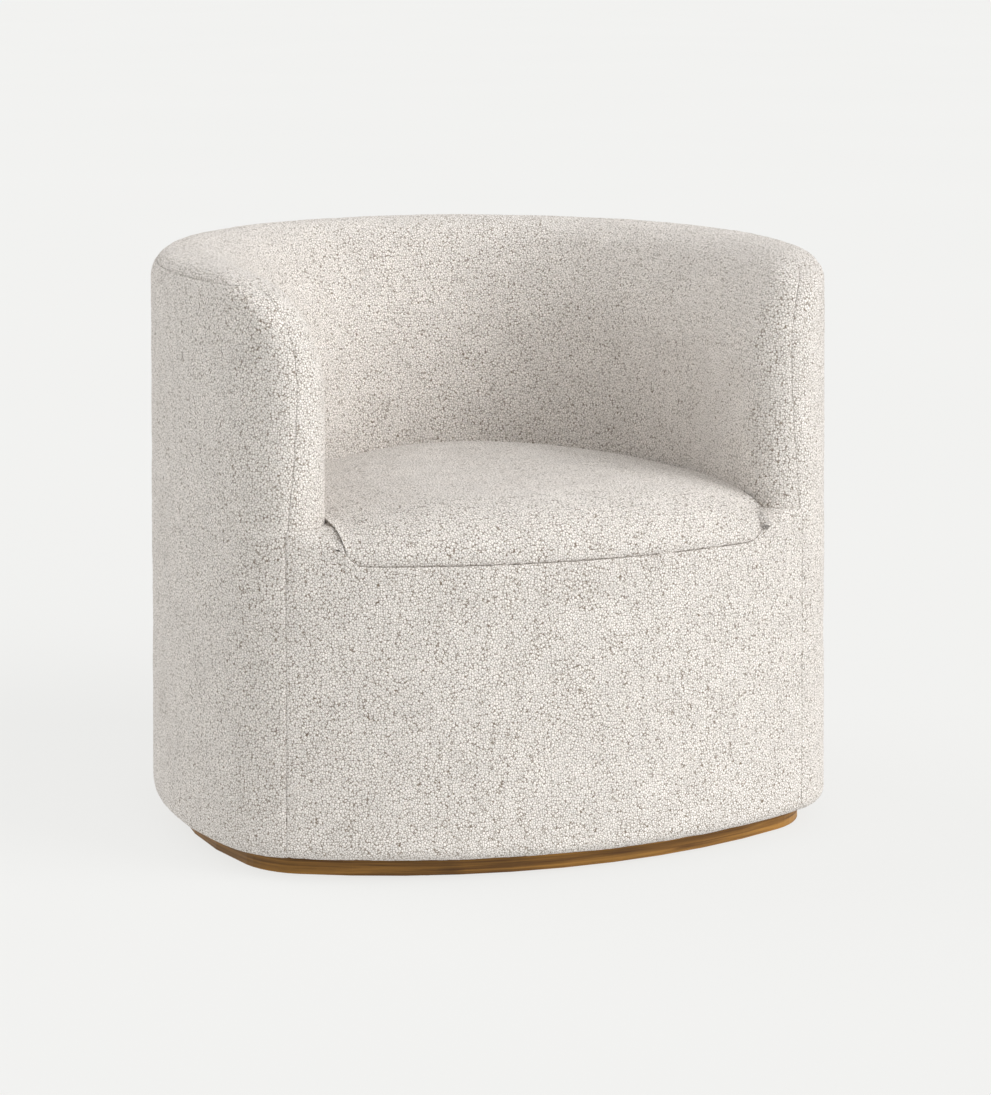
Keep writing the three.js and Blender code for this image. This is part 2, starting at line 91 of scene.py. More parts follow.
NOSE_RADIUS = 0.045          # rounded front edge of the arms, at the seat and at the rim
NOSE_TOP_RADIUS = 0.0345
ARM_BASE = 0.420
ARM_BASES = (0.420, 0.411)   # seams at the foot of the left and right arm, as sewn
TUCK = 0.007                 # the arms' cloth goes on below those seams
ARM_SEAM_LEVELS = (ARM_BASE, 0.50, 0.60, HEIGHT)
ARM_SEAM_HEADINGS = (13, 3, -4, -18)   # direction the arm's front seam faces at those heights
FRONT_SEAM_S = 0.336         # vertical seams, measured along the front
SEAT_SEAM = 0.377
SEAT_CORNER_X = 0.262
SEAT_CORNER_ROUND = 0.027
SEAT_CROWN = 0.446
SEAM_LAP = 0.0012            # how far the front cover and the seat overlap at their seam

UNDER_NOSE = 0.004           # how far the front cover's edge goes in under the arm
UNDER_SEAT = 0.072           # and, beside the arm, under the seat
SHOULDER_HEIGHT = 0.024      # height over which the front cover turns in below the arm
SHOULDER_START = SEAT_CORNER_X - 0.001
SHOULDER_TURN = 0.0025       # widths over which it starts to turn in and comes up level
SHOULDER_RISE = 0.010
CREASE_START_S = 0.245       # faint crease from the seat's corner out to the vertical seam
CREASE_RISE = 0.019

PANEL_DEPTH = 0.009          # cover and wadding together
SEAM_DIP = 0.0010            # how far the thread pulls the cloth in
SEAM_WIDTH = 0.0042
SEAM_PULL = 0.0006           # gentler pull on the padding either side
SEAM_PULL_WIDTH = 0.03
PUCKER = 0.35                # share by which the pull varies along a seam
PUCKER_SIZE = 0.017
UNEVENNESS = (               # height, size and offset in the noise: padding, wadding, pile
    (0.0006, 0.085, 0.0),
    (0.0004, 0.031, 3.1),
    (0.00035, 0.0062, 7.7),
)

STEP = 0.005                 # spacing of the fabric meshes
BESIDE_SEAM = np.array([0.0012, 0.0026])   # extra places close to a seam


def smooth(t):
    t = np.clip(t, 0, 1)
    return t * t * (3 - 2 * t)


def flared(points, z):
    """(…, 2) plan points and their heights, as points in space."""
    z = np.broadcast_to(z, points.shape[:-1])
    scale = 1 + FLARE * (FLARE_LEVEL - z)
    return np.concatenate([points * scale[..., None], z[..., None]], axis=-1)


# ---------------------------------------------------------------- plan outline
def outward(heading):
    return np.stack([np.sin(heading), -np.cos(heading)], axis=-1)


def plan_arcs():
    """Centres, radii, first headings and first distances of the arcs of the right half."""
    point, heading, distance = np.zeros(2), 0.0, 0.0
    centres, radii, headings, distances = [], [], [0.0], [0.0]
    for radius, turn in zip(ARC_RADII, ARC_TURNS):
        centre = point - radius * outward(heading)
        heading += math.radians(turn)
        distance += radius * math.radians(turn)
        point = centre + radius * outward(heading)
        centres.append(centre)
        radii.append(radius)
        headings.append(heading)
        distances.append(distance)
    radius = point[0] / math.sin(heading)
    centre = point - radius * outward(heading)
    centres.append(centre)
    radii.append(radius)
    distances.append(distance + radius * (math.pi - heading))
    headings.append(math.pi)
    centres = np.array(centres)
    centres[:, 1] -= (centre[1] + radius) / 2
    return centres, np.array(radii), np.array(headings), np.array(distances)


CENTRES, RADII, HEADINGS, DISTANCES = plan_arcs()
HALF = DISTANCES[-1]


def heading_at(s):
    return np.interp(np.abs(s), DISTANCES, HEADINGS)


def outline(s, inset=0.0):
    """Plan points at the distances s from the middle of the front, positive to the right."""
    heading = heading_at(s)
    arc = np.clip(np.searchsorted(HEADINGS, heading, side="right") - 1, 0, len(RADII) - 1)
    points = CENTRES[arc] + (RADII[arc] - inset)[..., None] * outward(heading)
    points[..., 0] *= np.where(np.asarray(s) < 0, -1, 1)
    return points


WIDEST = float(np.interp(math.pi / 2, HEADINGS, DISTANCES))   # where the outline faces sideways


# ---------------------------------------------------------------- section of the wall
NOSE_SEARCH_POINTS = 1500
OUTER_POINTS, NOSE_POINTS, WALL_POINTS, BACK_POINTS = 900, 120, 60, 500   # of the section
SAME_POINT = 1e-7            # points closer than this are merged


def well_half_width(z):
    rise = max(0.0, (z - ARM_CURVE_START) / (HEIGHT - ARM_CURVE_START))
    return WELL_HALF_WIDTH + (WELL_TOP_HALF_WIDTH - WELL_HALF_WIDTH) * rise ** 2


def well_rise(z):
    return min(1.0, max(0.0, (z - SEAT_LEVEL) / (HEIGHT - SEAT_LEVEL)))


def well_back(z):
    rise = well_rise(z)
    return WELL_BACK + (WELL_TOP_BACK - WELL_BACK) * (rise + rise ** 2) / 2


def nose_radius(z):
    fade = float(smooth((z - ARM_CURVE_START) / (HEIGHT - ARM_CURVE_START)))
    return NOSE_RADIUS + (NOSE_TOP_RADIUS - NOSE_RADIUS) * fade


def seam_heading(z):
    """Direction that the arm's front seam faces, in plan."""
    return math.radians(float(np.interp(z, ARM_SEAM_LEVELS, ARM_SEAM_HEADINGS)))


def nose_centre(z):
    """Centre of the arm's rounded front edge, and the distance at which it touches the outline."""
    radius = nose_radius(z)
    s = np.linspace(0, WIDEST, NOSE_SEARCH_POINTS)
    found = float(np.interp(well_half_width(z) + radius, outline(s, radius)[:, 0], s))
    return outline(np.array(found), radius), found


def half_section(z):
    """Right half of the wall's section, from the middle of the outer back, round the arm's
    front to the middle of the inner back: points, normals, distances, and the seam's distance."""
    radius = nose_radius(z)
    centre, touch = nose_centre(z)
    outer = outline(np.linspace(HALF, touch, OUTER_POINTS))
    first = float(heading_at(touch))
    turn = np.linspace(first, -math.pi / 2, NOSE_POINTS)
    nose = centre + radius * outward(turn)
    width = well_half_width(z)
    wall_y = np.linspace(centre[1], WELL_CENTRE_Y, WALL_POINTS)
    wall = np.stack([np.full_like(wall_y, width), wall_y], axis=-1)
    angle = np.linspace(0, math.pi / 2, BACK_POINTS)
    power = 1 / (1 + WELL_SQUARENESS * well_rise(z))
    depth = well_back(z) - WELL_CENTRE_Y
    back = np.stack([
        width * np.cos(angle) ** power,
        WELL_CENTRE_Y + depth * np.sin(angle) ** power,
    ], axis=-1)
    back[-1, 0] = 0
    points = np.concatenate([outer, nose[1:], wall[1:], back[1:]])
    step = np.linalg.norm(np.diff(points, axis=0), axis=1)
    keep = np.concatenate([[True], step > SAME_POINT])
    points = points[keep]
    step = np.linalg.norm(np.diff(points, axis=0), axis=1)
    along = np.concatenate([[0], np.cumsum(step)])
    tangent = np.gradient(points, along, axis=0)
    tangent /= np.linalg.norm(tangent, axis=1)[:, None]
    normals = np.stack([-tangent[:, 1], tangent[:, 0]], axis=-1)
    seam = (HALF - touch) + radius * (first - seam_heading(z))
    return points, normals, along, seam


def sample(section, distances, inset):
    points, normals, along, _ = section
    at = np.stack([np.interp(distances, along, points[:, k]) for k in range(2)], axis=-1)
    normal = np.stack([np.interp(distances, along, normals[:, k]) for k in range(2)], axis=-1)
    normal /= np.linalg.norm(normal, axis=-1)[..., None]
    return at - inset * normal


def both_sides(right):
    """Rows that run from the right seam to the middle, completed from the left seam."""
    left = right * np.array([-1, 1])
    left[-1, 0] = 0
    right[-1, 0] = 0
    return np.concatenate([left, right[-2::-1]])


def stations(length):
    """Even places from 0 to 1, with a few more beside both ends for the seams."""
    count = round(length / STEP)
    even = np.linspace(0, 1, count + 1)
    close = BESIDE_SEAM / length
    return np.unique(np.concatenate([even, close, 1 - close]))


def end_stations(length):
    """Even places from 0 to 1, with a few more beside 0 only."""
    count = round(length / STEP)
    even = np.linspace(0, 1, count + 1)
    return np.unique(np.concatenate([even, BESIDE_SEAM / length]))


WALL_FOOT = BODY_BOTTOM + BOTTOM_ROUND
TOP_START = HEIGHT - TOP_ROUND
SEAM_LEVEL = TOP_START + TOP_ROUND * math.sin(SEAM_ANGLE)
UNDERTURN_ROWS, FOOT_ROUND_ROWS = 5, 7
ARM_BLEND_START = ARM_BASE - 0.034   # the outside changes from the body's plan to the arm's
ARM_BLEND_HEIGHT = 0.03


def top_level(angle):
    """Height and inset on the rim's rounded edge."""
    return TOP_START + TOP_ROUND * math.sin(angle), TOP_ROUND * (1 - math.cos(angle))


def foot_levels():
    """Heights and insets of a cover turned under the body, up to the straight wall."""
    levels = []
    for t in np.linspace(0, 1, UNDERTURN_ROWS)[:-1]:
        levels.append((BODY_BOTTOM, BOTTOM_ROUND + UNDERTURN * (1 - t)))
    for angle in np.linspace(-math.pi / 2, 0, FOOT_ROUND_ROWS):
        z = BODY_BOTTOM + BOTTOM_ROUND * (1 + math.sin(angle))
        levels.append((z, BOTTOM_ROUND * (1 - math.cos(angle))))
    return levels


def outer_row(z, inset, across):
    """Right half of the outside, from the front seam (0) to the middle of the back (1)."""
    low = outline(FRONT_SEAM_S + (HALF - FRONT_SEAM_S) * across, inset)
    blend = float(smooth((z - ARM_BLEND_START) / ARM_BLEND_HEIGHT))
    if blend == 0:
        return low
    section = half_section(z)
    high = sample(section, section[3] * (1 - across), inset)
    return low + (high - low) * blend


def inner_row(z, inset, across):
    """Right half of the inside, from the front seam (0) to the middle of the back (1)."""
    section = half_section(z)
    end = section[2][-1]
    return sample(section, section[3] + (end - section[3]) * across, inset)


# ---------------------------------------------------------------- meshes
def new_mesh(name, vertices, faces):
    mesh = bpy.data.meshes.new(name)
    mesh.from_pydata(vertices.tolist(), [], faces)
    mesh.update()
    mesh.validate()
    obj = bpy.data.objects.new(name, mesh)
    bpy.context.scene.collection.objects.link(obj)
    return obj


def grid_index(rows):
    """Vertex numbers of a grid of points, row by row."""
    return np.arange(rows[..., 0].size).reshape(rows.shape[:2])


def grid_faces(index):
    """Faces of a grid of vertex numbers, with the ones that have closed up to a triangle."""
    faces = []
    rows, columns = index.shape
    for r in range(rows - 1):
        for c in range(columns - 1):
            ring = (index[r, c], index[r, c + 1], index[r + 1, c + 1], index[r + 1, c])
            corners = [int(v) for k, v in enumerate(ring) if v != ring[k - 1]]
            if len(corners) > 2 and len(set(corners)) == len(corners):
                faces.append(corners)
    return faces


def get_vertices(mesh):
    flat = np.empty(len(mesh.vertices) * 3, np.float32)
    mesh.vertices.foreach_get("co", flat)
    return flat.reshape(-1, 3).astype(float)


def get_normals(mesh):
    flat = np.empty(len(mesh.vertices) * 3, np.float32)
    mesh.vertex_normals.foreach_get("vector", flat)
    return flat.reshape(-1, 3).astype(float)


LATTICE_SIZE = 64
LATTICE = np.random.default_rng(11).uniform(-1, 1, (LATTICE_SIZE,) * 3)


def value_noise(points, size):
    """Smooth noise from -1 to 1 with features of the given size."""
    place = points / size
    cell = np.floor(place).astype(int)
    part = place - cell
    part = part * part * (3 - 2 * part)
    total = np.zeros(len(points))
    for corner in itertools.product((0, 1), repeat=3):
        weight = np.prod(np.where(np.array(corner) == 1, part, 1 - part), axis=1)
        at = (cell + np.array(corner)) % LATTICE_SIZE
        total += weight * LATTICE[at[:, 0], at[:, 1], at[:, 2]]
    return total


def distance_to(points, line):
    """Distance of each point from the nearest of a dense line of points."""
    tree = mathutils.kdtree.KDTree(len(line))
    for i, p in enumerate(line):
        tree.insert(p, i)
    tree.balance()
    return np.array([tree.find(p)[2] for p in points])


def dense(line, step=0.0015):
    """The same line of points with no gap wider than step."""
    out = [line[:1]]
    for a, b in zip(line[:-1], line[1:]):
        count = max(1, math.ceil(np.linalg.norm(b - a) / step))
        t = np.linspace(0, 1, count + 1)[1:, None]
        out.append(a + (b - a) * t)
    return np.concatenate(out)


def upholster(obj, seams):
    """Pulls the cloth in along its seams and gives it the slight unevenness of padding."""
    points, normals = get_vertices(obj.data), get_normals(obj.data)
    near = np.minimum.reduce([distance_to(points, dense(seam)) for seam in seams])
    edge = np.clip(1 - near / SEAM_WIDTH, 0, 1)
    beside = np.clip(1 - near / SEAM_PULL_WIDTH, 0, 1)
    pucker = 1 + PUCKER * value_noise(points, PUCKER_SIZE)
    pull = SEAM_DIP * edge ** 2 * pucker + SEAM_PULL * beside ** 2
    lumps = sum(height * value_noise(points + offset, size) for height, size, offset in UNEVENNESS)
    moved = points + normals * (lumps - pull)[:, None]
    obj.data.vertices.foreach_set("co", moved.astype(np.float32).ravel())
    obj.data.update()


def thicken(obj):
    """Closes a panel into a padded shell, inwards from its face."""
    modifier = obj.modifiers.new("thickness", "SOLIDIFY")
    modifier.thickness = PANEL_DEPTH
    modifier.offset = -1
    modifier.use_rim = True
    evaluated = obj.evaluated_get(bpy.context.evaluated_depsgraph_get())
    applied = bpy.data.meshes.new_from_object(evaluated)
    obj.modifiers.clear()
    old = obj.data
    obj.data = applied
    applied.name = obj.name
    bpy.data.meshes.remove(old)


def finish_panel(obj, seams, material, nodes, shell=True):
    """Seams, padding and material of a piece, and the CAD nodes that it stands for."""
    upholster(obj, seams)
    if shell:
        thicken(obj)
    obj.data.polygons.foreach_set("use_smooth", [True] * len(obj.data.polygons))
    obj.data.materials.clear()
    obj.data.materials.append(material)
    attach(obj, "root")
    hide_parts(*nodes)


# ---------------------------------------------------------------- upholstery panels
WALL_ROWS = 128
RIM_SEAM_ROWS = 5            # from the straight wall up to the rim seam
RIM_SEAM_EXTRA = np.array([0.04, 0.085])   # extra rows just below the rim seam, in radians

LINING_LENGTH = 0.69         # half of the inside, from the arm's front seam to the middle
LINING_DROP = 0.024          # how far below the seat's edge the lining goes on
LINING_DROP_START = 0.12     # shares of that half over which it goes down
LINING_DROP_WIDTH = 0.1
LINING_TABLE_START = 0.38    # lowest height at which its shape is worked out
LINING_TABLE_ROWS = 52
NOSE_SHARE = 0.13            # share of that half that the arm's rounded front takes up
RIM_CROWN = 0.0005
RIM_ROWS, RIM_EDGE_ROWS = 7, 10   # across the rim, and on each rounded edge of it

SEAT_CORNER_COLUMNS = np.linspace(0.24, 0.30, 41)   # extra ones, beside the seat's corners
CREASE_POINTS = 60
CREASE_CURVE = 1.2


def outside_panel(material):
    """Round the sides and the back, from the front's one vertical seam to the other."""
    wall = np.linspace(WALL_FOOT, TOP_START, WALL_ROWS)
    angles = np.append(np.linspace(0, SEAM_ANGLE, RIM_SEAM_ROWS), SEAM_ANGLE - RIM_SEAM_EXTRA)
    levels = foot_levels()
    levels += [(z, 0.0) for z in wall[1:-1]]
    levels += [top_level(angle) for angle in np.unique(angles)]
    across = end_stations(HALF - FRONT_SEAM_S)
    rows = np.stack([flared(both_sides(outer_row(z, inset, across)), z) for z, inset in levels])
    obj = new_mesh("outside_panel", rows.reshape(-1, 3), grid_faces(grid_index(rows)[:, ::-1]))
    seams = [rows[-1], rows[:, 0], rows[:, -1]]
    finish_panel(obj, seams, material, ["outside_cover", "outside_wadding"])


def inside_panel(material):
    """One piece of cloth: up the inside of the tub, over the rim, down to the rim seam."""
    across = end_stations(LINING_LENGTH)
    count = len(across) * 2 - 1
    drop = LINING_DROP * smooth((across - LINING_DROP_START) / LINING_DROP_WIDTH)
    lowest = -TUCK - drop
    lowest = np.concatenate([ARM_BASES[0] + lowest, ARM_BASES[1] + lowest[-2::-1]])
    table = np.linspace(LINING_TABLE_START, TOP_START, LINING_TABLE_ROWS)
    tabled = np.stack([flared(both_sides(inner_row(z, 0, across)), z) for z in table])

    straight = []
    last = len(table) - 1
    column = np.arange(count)
    for climb in stations(SEAM_LEVEL - ARM_BASE):
        z = lowest + (TOP_START - lowest) * climb
        place = np.clip((z - table[0]) / (table[-1] - table[0]) * last, 0, last - 0.001)
        low = np.floor(place).astype(int)
        part = (place - low)[:, None]
        straight.append(tabled[low, column] * (1 - part) + tabled[low + 1, column] * part)
    inner_top, outer_top = [], []
    angles = np.linspace(0, math.pi / 2, RIM_EDGE_ROWS)[1:]
    angles = np.unique(np.append(angles, SEAM_ANGLE))
    for angle in angles:
        z, inset = top_level(angle)
        inner_top.append(flared(both_sides(inner_row(z, inset, across)), z))
        if angle >= SEAM_ANGLE:
            outer_top.append(flared(both_sides(outer_row(z, inset, across)), z))
    rim = []
    for t in np.linspace(0, 1, RIM_ROWS)[1:-1]:
        row = inner_top[-1] * (1 - t) + outer_top[-1] * t
        row[:, 2] += RIM_CROWN * 4 * t * (1 - t)
        rim.append(row)
    rows = np.stack(straight + inner_top + rim + outer_top[::-1])
    index = grid_index(rows)
    crest = len(straight) + len(inner_top) - 1
    # The rim's outer half closes on to its inner half at the tips of the arms.
    for end in (0, count - 1):
        index[crest:crest + len(rim) + 2, end] = index[crest, end]
        for k in range(1, len(outer_top)):
            index[crest + len(rim) + 1 + k, end] = index[crest - k, end]
    used = np.unique(index)
    renumber = np.full(index.max() + 1, -1)
    renumber[used] = np.arange(len(used))
    vertices = rows.reshape(-1, 3)[used]
    obj = new_mesh("inside_panel", vertices, grid_faces(renumber[index]))
    seam_rows = len(straight) + int(np.sum(angles <= SEAM_ANGLE))
    nose = int(np.sum(across < NOSE_SHARE))
    tuck = np.array([0, 0, TUCK])
    seams = [
        rows[-1],
        rows[:seam_rows, 0], rows[:seam_rows, -1],
        rows[0, :nose] + tuck, rows[0, -nose:] + tuck,
    ]
    replaced = ["inside_cover", "inside_foam", "rim_cover", "rim_foam"]
    finish_panel(obj, seams, material, replaced)


def seat_seam_level(x):
    """Height of the seam round the front of the seat, at the distance x from the middle."""
    over = np.abs(x) - (SEAT_CORNER_X - SEAT_CORNER_ROUND)
    over = np.clip(over, 0, SEAT_CORNER_ROUND)
    corner = SEAT_CORNER_ROUND - np.sqrt(SEAT_CORNER_ROUND ** 2 - over ** 2)
    return SEAT_SEAM + corner


def shoulder_depth(s):
    """How far the front cover turns in, at its top, to meet the arm's rounded front, and how
    far its edge then goes on level, under the arm or, beside it, under the edge of the seat."""
    centre, _ = nose_centre(ARM_BASE)
    radius = nose_radius(ARM_BASE)
    point = outline(np.abs(s))
    direction = -outward(heading_at(s))
    to_centre = centre - point
    along = np.sum(to_centre * direction, axis=-1)
    miss = np.sum(to_centre ** 2, axis=-1) - along ** 2
    hit = along - np.sqrt(np.clip(radius ** 2 - miss, 0, None))
    met = miss < radius ** 2
    depth = np.where(met, hit, along)
    return depth, np.where(met, UNDER_NOSE, UNDER_SEAT - depth)


def front_panel(material):
    """From the plinth up to the seat seam, and to the arm bases beside it."""
    even = np.linspace(-FRONT_SEAM_S, FRONT_SEAM_S, round(2 * FRONT_SEAM_S / STEP) + 1)
    extra = np.concatenate([FRONT_SEAM_S - BESIDE_SEAM, SEAT_CORNER_COLUMNS])
    s = np.unique(np.concatenate([even, extra, -extra]))
    x = np.abs(outline(s)[:, 0])
    rise = smooth((x - SHOULDER_START) / SHOULDER_RISE)
    turned_in = smooth((x - SHOULDER_START) / SHOULDER_TURN)
    arm_base = np.where(s < 0, *ARM_BASES)
    top = (seat_seam_level(x) + SEAM_LAP) * (1 - rise) + arm_base * rise
    shoulder, edge_depth = (depth * turned_in for depth in shoulder_depth(s))
    rows = [flared(outline(s, inset), z) for z, inset in foot_levels()]
    for climb in stations(SEAT_SEAM - WALL_FOOT)[1:]:
        z = WALL_FOOT + (top - WALL_FOOT) * climb
        bend = np.clip((z - (arm_base - SHOULDER_HEIGHT)) / SHOULDER_HEIGHT, 0, 1)
        inset = shoulder * (1 - np.sqrt(1 - bend ** 2))
        if climb == 1:
            inset = shoulder + edge_depth
        rows.append(flared(outline(s, inset), z))
    rows = np.stack(rows)
    obj = new_mesh("front_panel", rows.reshape(-1, 3), grid_faces(grid_index(rows)))
    crease_s = np.linspace(CREASE_START_S, FRONT_SEAM_S, CREASE_POINTS)
    crease_z = SEAT_SEAM + CREASE_RISE * np.linspace(0, 1, CREASE_POINTS) ** CREASE_CURVE
    creases = [flared(outline(side * crease_s), crease_z) for side in (-1, 1)]
    seams = [rows[-1], rows[:, 0], rows[:, -1], *creases]
    finish_panel(obj, seams, material, ["front_cover", "front_wadding"])


# ---------------------------------------------------------------- seat cushion
SEAT_MIDDLE = np.array([0.0, -0.10])
SEAT_BOTTOM = 0.3740
WALL_LEVELS = ((-0.31, -0.20, 0.20), (0.4245, 0.428, 0.410))   # y, height beside the wall
SEAT_GAP = 0.0006            # between the seat and the inner back
SEAT_FRONT_S = np.linspace(-0.30, 0.30, 2001)   # places along the front, cut off at its corners
SEAT_PLAN_CORNER = 0.003     # radius of its front corners in plan
SEAT_TURN_POINTS, SEAT_SIDE_POINTS, SEAT_BACK_POINTS = 6, 40, 160
SEAT_FRONT_ROLL = 0.10       # distance from the front over which the seat rolls up
SEAT_ROLL_POWER = 2.3
SEAT_SPREAD = 0.19           # distance from the wall over which the crown builds up
SEAT_SPREAD_POWER = 2.4
SEAT_COLUMNS = 340
SEAT_RINGS = 62
SEAT_RING_SPACING = 1.35     # packs the rings towards the seat's edge
SEAT_UNDER_SCALES = (0.35, 0.7, 0.975)
SEAT_TUCK_SCALE = 0.985      # below its seam the cloth turns in
SEAT_TUCK = 0.012
SEAT_TUCK_CLEARANCE = 0.002
SEAT_LINE_STEP = 0.002


def seat_outline():
    """Plan of the seat, from the front's left corner round to it again, and which part is front."""
    wall = SEAT_CORNER_X + SEAM_LAP
    line = outline(SEAT_FRONT_S)
    front = line[np.abs(line[:, 0]) <= wall - SEAT_PLAN_CORNER]
    centre = front[-1] + np.array([0.0, SEAT_PLAN_CORNER])
    turn = np.linspace(-math.pi / 2, 0, SEAT_TURN_POINTS)[1:]
    bend = centre + SEAT_PLAN_CORNER * np.stack([np.cos(turn), np.sin(turn)], axis=-1)
    bend[:, 0] = np.minimum(bend[:, 0], wall)
    side_y = np.linspace(bend[-1, 1], WELL_CENTRE_Y, SEAT_SIDE_POINTS)[1:]
    behind_nose = np.clip((side_y - bend[-1, 1]) / NOSE_RADIUS, 0, 1)
    width = wall + (WELL_HALF_WIDTH - SEAT_CORNER_X) * behind_nose
    side = np.stack([width, side_y], axis=-1)
    angle = np.linspace(0, math.pi / 2, SEAT_BACK_POINTS)[1:]
    back = np.stack([
        (WELL_HALF_WIDTH - SEAT_GAP) * np.cos(angle),
        WELL_CENTRE_Y + (WELL_BACK - SEAT_GAP - WELL_CENTRE_Y) * np.sin(angle),
    ], axis=-1)
    right = np.concatenate([bend, side, back])
    left = right[:-1][::-1] * np.array([-1, 1])
    around = np.concatenate([front, right, left])
    return around, len(front)


def even_loop(loop, count):
    """The same closed line with a given number of evenly spaced points."""
    closed = np.concatenate([loop, loop[:1]])
    along = np.concatenate([[0], np.cumsum(np.linalg.norm(np.diff(closed, axis=0), axis=1))])
    at = np.linspace(0, along[-1], count, endpoint=False)
    return np.stack([np.interp(at, along, closed[:, k]) for k in range(2)], axis=-1)


def on_floor(points):
    return np.concatenate([points, np.zeros((len(points), 1))], axis=1)


def seat_height(points, front, wall):
    """Height of the seat's top: rolled over at the front, crowned away from the wall."""
    to_front = distance_to(on_floor(points), on_floor(front))
    to_wall = distance_to(on_floor(points), on_floor(wall))
    beside = np.interp(points[:, 1], *WALL_LEVELS)
    fullness = 1 - (1 - np.clip(to_wall / SEAT_SPREAD, 0, 1)) ** SEAT_SPREAD_POWER
    crown = beside + (SEAT_CROWN - beside) * fullness
    roll = np.clip(to_front / SEAT_FRONT_ROLL, 0, 1)
    roll = (1 - (1 - roll) ** SEAT_ROLL_POWER) ** (1 / SEAT_ROLL_POWER)
    seam = seat_seam_level(points[:, 0])
    return seam + (crown - seam) * roll


def seat_cushion(material):
    """Closed rings from the middle of the seat's underside, round its edge, to its top."""
    around, front_count = seat_outline()
    turned = SEAT_TURN_POINTS - 2   # the wall starts at the last point of the turn
    front = dense(around[:front_count], SEAT_LINE_STEP)
    wall = dense(around[front_count + turned:-turned], SEAT_LINE_STEP)
    loop = even_loop(around, SEAT_COLUMNS)

    def ring(scale):
        return SEAT_MIDDLE + (loop - SEAT_MIDDLE) * scale

    scales = 1 - np.linspace(0, 1, SEAT_RINGS) ** SEAT_RING_SPACING
    rings = [ring(scale) for scale in scales[:-1]]
    heights = np.split(seat_height(np.concatenate(rings), front, wall), len(rings))
    tucked = ring(SEAT_TUCK_SCALE)
    lowest = SEAT_BOTTOM + SEAT_TUCK_CLEARANCE
    under = [flared(ring(scale), SEAT_BOTTOM) for scale in SEAT_UNDER_SCALES]
    side = [flared(tucked, lowest), flared(tucked, np.maximum(heights[0] - SEAT_TUCK, lowest))]
    rows = np.stack(under + side + [flared(plan, z) for plan, z in zip(rings, heights)])
    index = grid_index(rows)
    faces = grid_faces(np.concatenate([index, index[:, :1]], axis=1))
    crown = float(seat_height(SEAT_MIDDLE[None], front, wall)[0])
    poles = [flared(SEAT_MIDDLE[None], SEAT_BOTTOM), flared(SEAT_MIDDLE[None], crown)]
    vertices = np.concatenate([rows.reshape(-1, 3), *poles])
    bottom, top = len(vertices) - 2, len(vertices) - 1
    for c in range(SEAT_COLUMNS):
        n = (c + 1) % SEAT_COLUMNS
        faces.append([int(index[0, n]), int(index[0, c]), bottom])
        faces.append([int(index[-1, c]), int(index[-1, n]), top])
    obj = new_mesh("seat_cushion", vertices, faces)
    seam = rows[len(under) + len(side)]
    finish_panel(obj, [seam], material, ["seat_cover", "seat_foam"], shell=False)


# ---------------------------------------------------------------- materials
def start_material(name):
    material = bpy.data.materials.new(name)
    material.use_nodes = True
    tree = material.node_tree
    shader = tree.nodes["Principled BSDF"]
    return material, tree, shader


def node(tree, kind, inputs=None, **settings):
    made = tree.nodes.new(kind)
    for key, value in settings.items():
        setattr(made, key, value)
    for key, value in (inputs or {}).items():
        if isinstance(value, bpy.types.NodeSocket):
            tree.links.new(value, made.inputs[key])
        else:
            made.inputs[key].default_value = value
    return made


def ramp(tree, factor, stops):
    made = node(tree, "ShaderNodeValToRGB", {"Fac": factor})
    elements = made.color_ramp.elements
    while len(elements) < len(stops):
        elements.new(0.5)
    for element, (position, colour) in zip(elements, stops):
        element.position = position
        element.color = (*colour, 1)
    return made.outputs["Color"]


def remap(tree, value, low, high, to_low=0.0, to_high=1.0):
    inputs = {
        "Value": value, "From Min": low, "From Max": high, "To Min": to_low, "To Max": to_high,
    }
    return node(tree, "ShaderNodeMapRange", inputs).outputs["Result"]


def math_node(tree, operation, a, b):
    made = node(tree, "ShaderNodeMath", {0: a, 1: b}, operation=operation)
    return made.outputs[0]


def scaled(tree, vector, factor):
    made = node(tree, "ShaderNodeVectorMath", {0: vector, "Scale": factor}, operation="SCALE")
    return made.outputs[0]


def blend_colour(tree, factor, a, b):
    made = node(tree, "ShaderNodeMix", data_type="RGBA")
    for socket, value in ((0, factor), (6, a), (7, b)):
        if isinstance(value, bpy.types.NodeSocket):
            tree.links.new(value, made.inputs[socket])
        else:
            made.inputs[socket].default_value = value if socket == 0 else (*value, 1)
    return made.outputs[2]


LOOP_SIZE = 0.0028
LOOP_DRIFT = 0.0022          # how far the nubs wander from an even layout
LOOP_LIGHT = (0.93, 0.885, 0.842)
LOOP_MID = (0.80, 0.742, 0.688)
# colour of the gaps between the nubs: painted shade
LOOP_GAP_SHADE = (0.20, 0.158, 0.112)


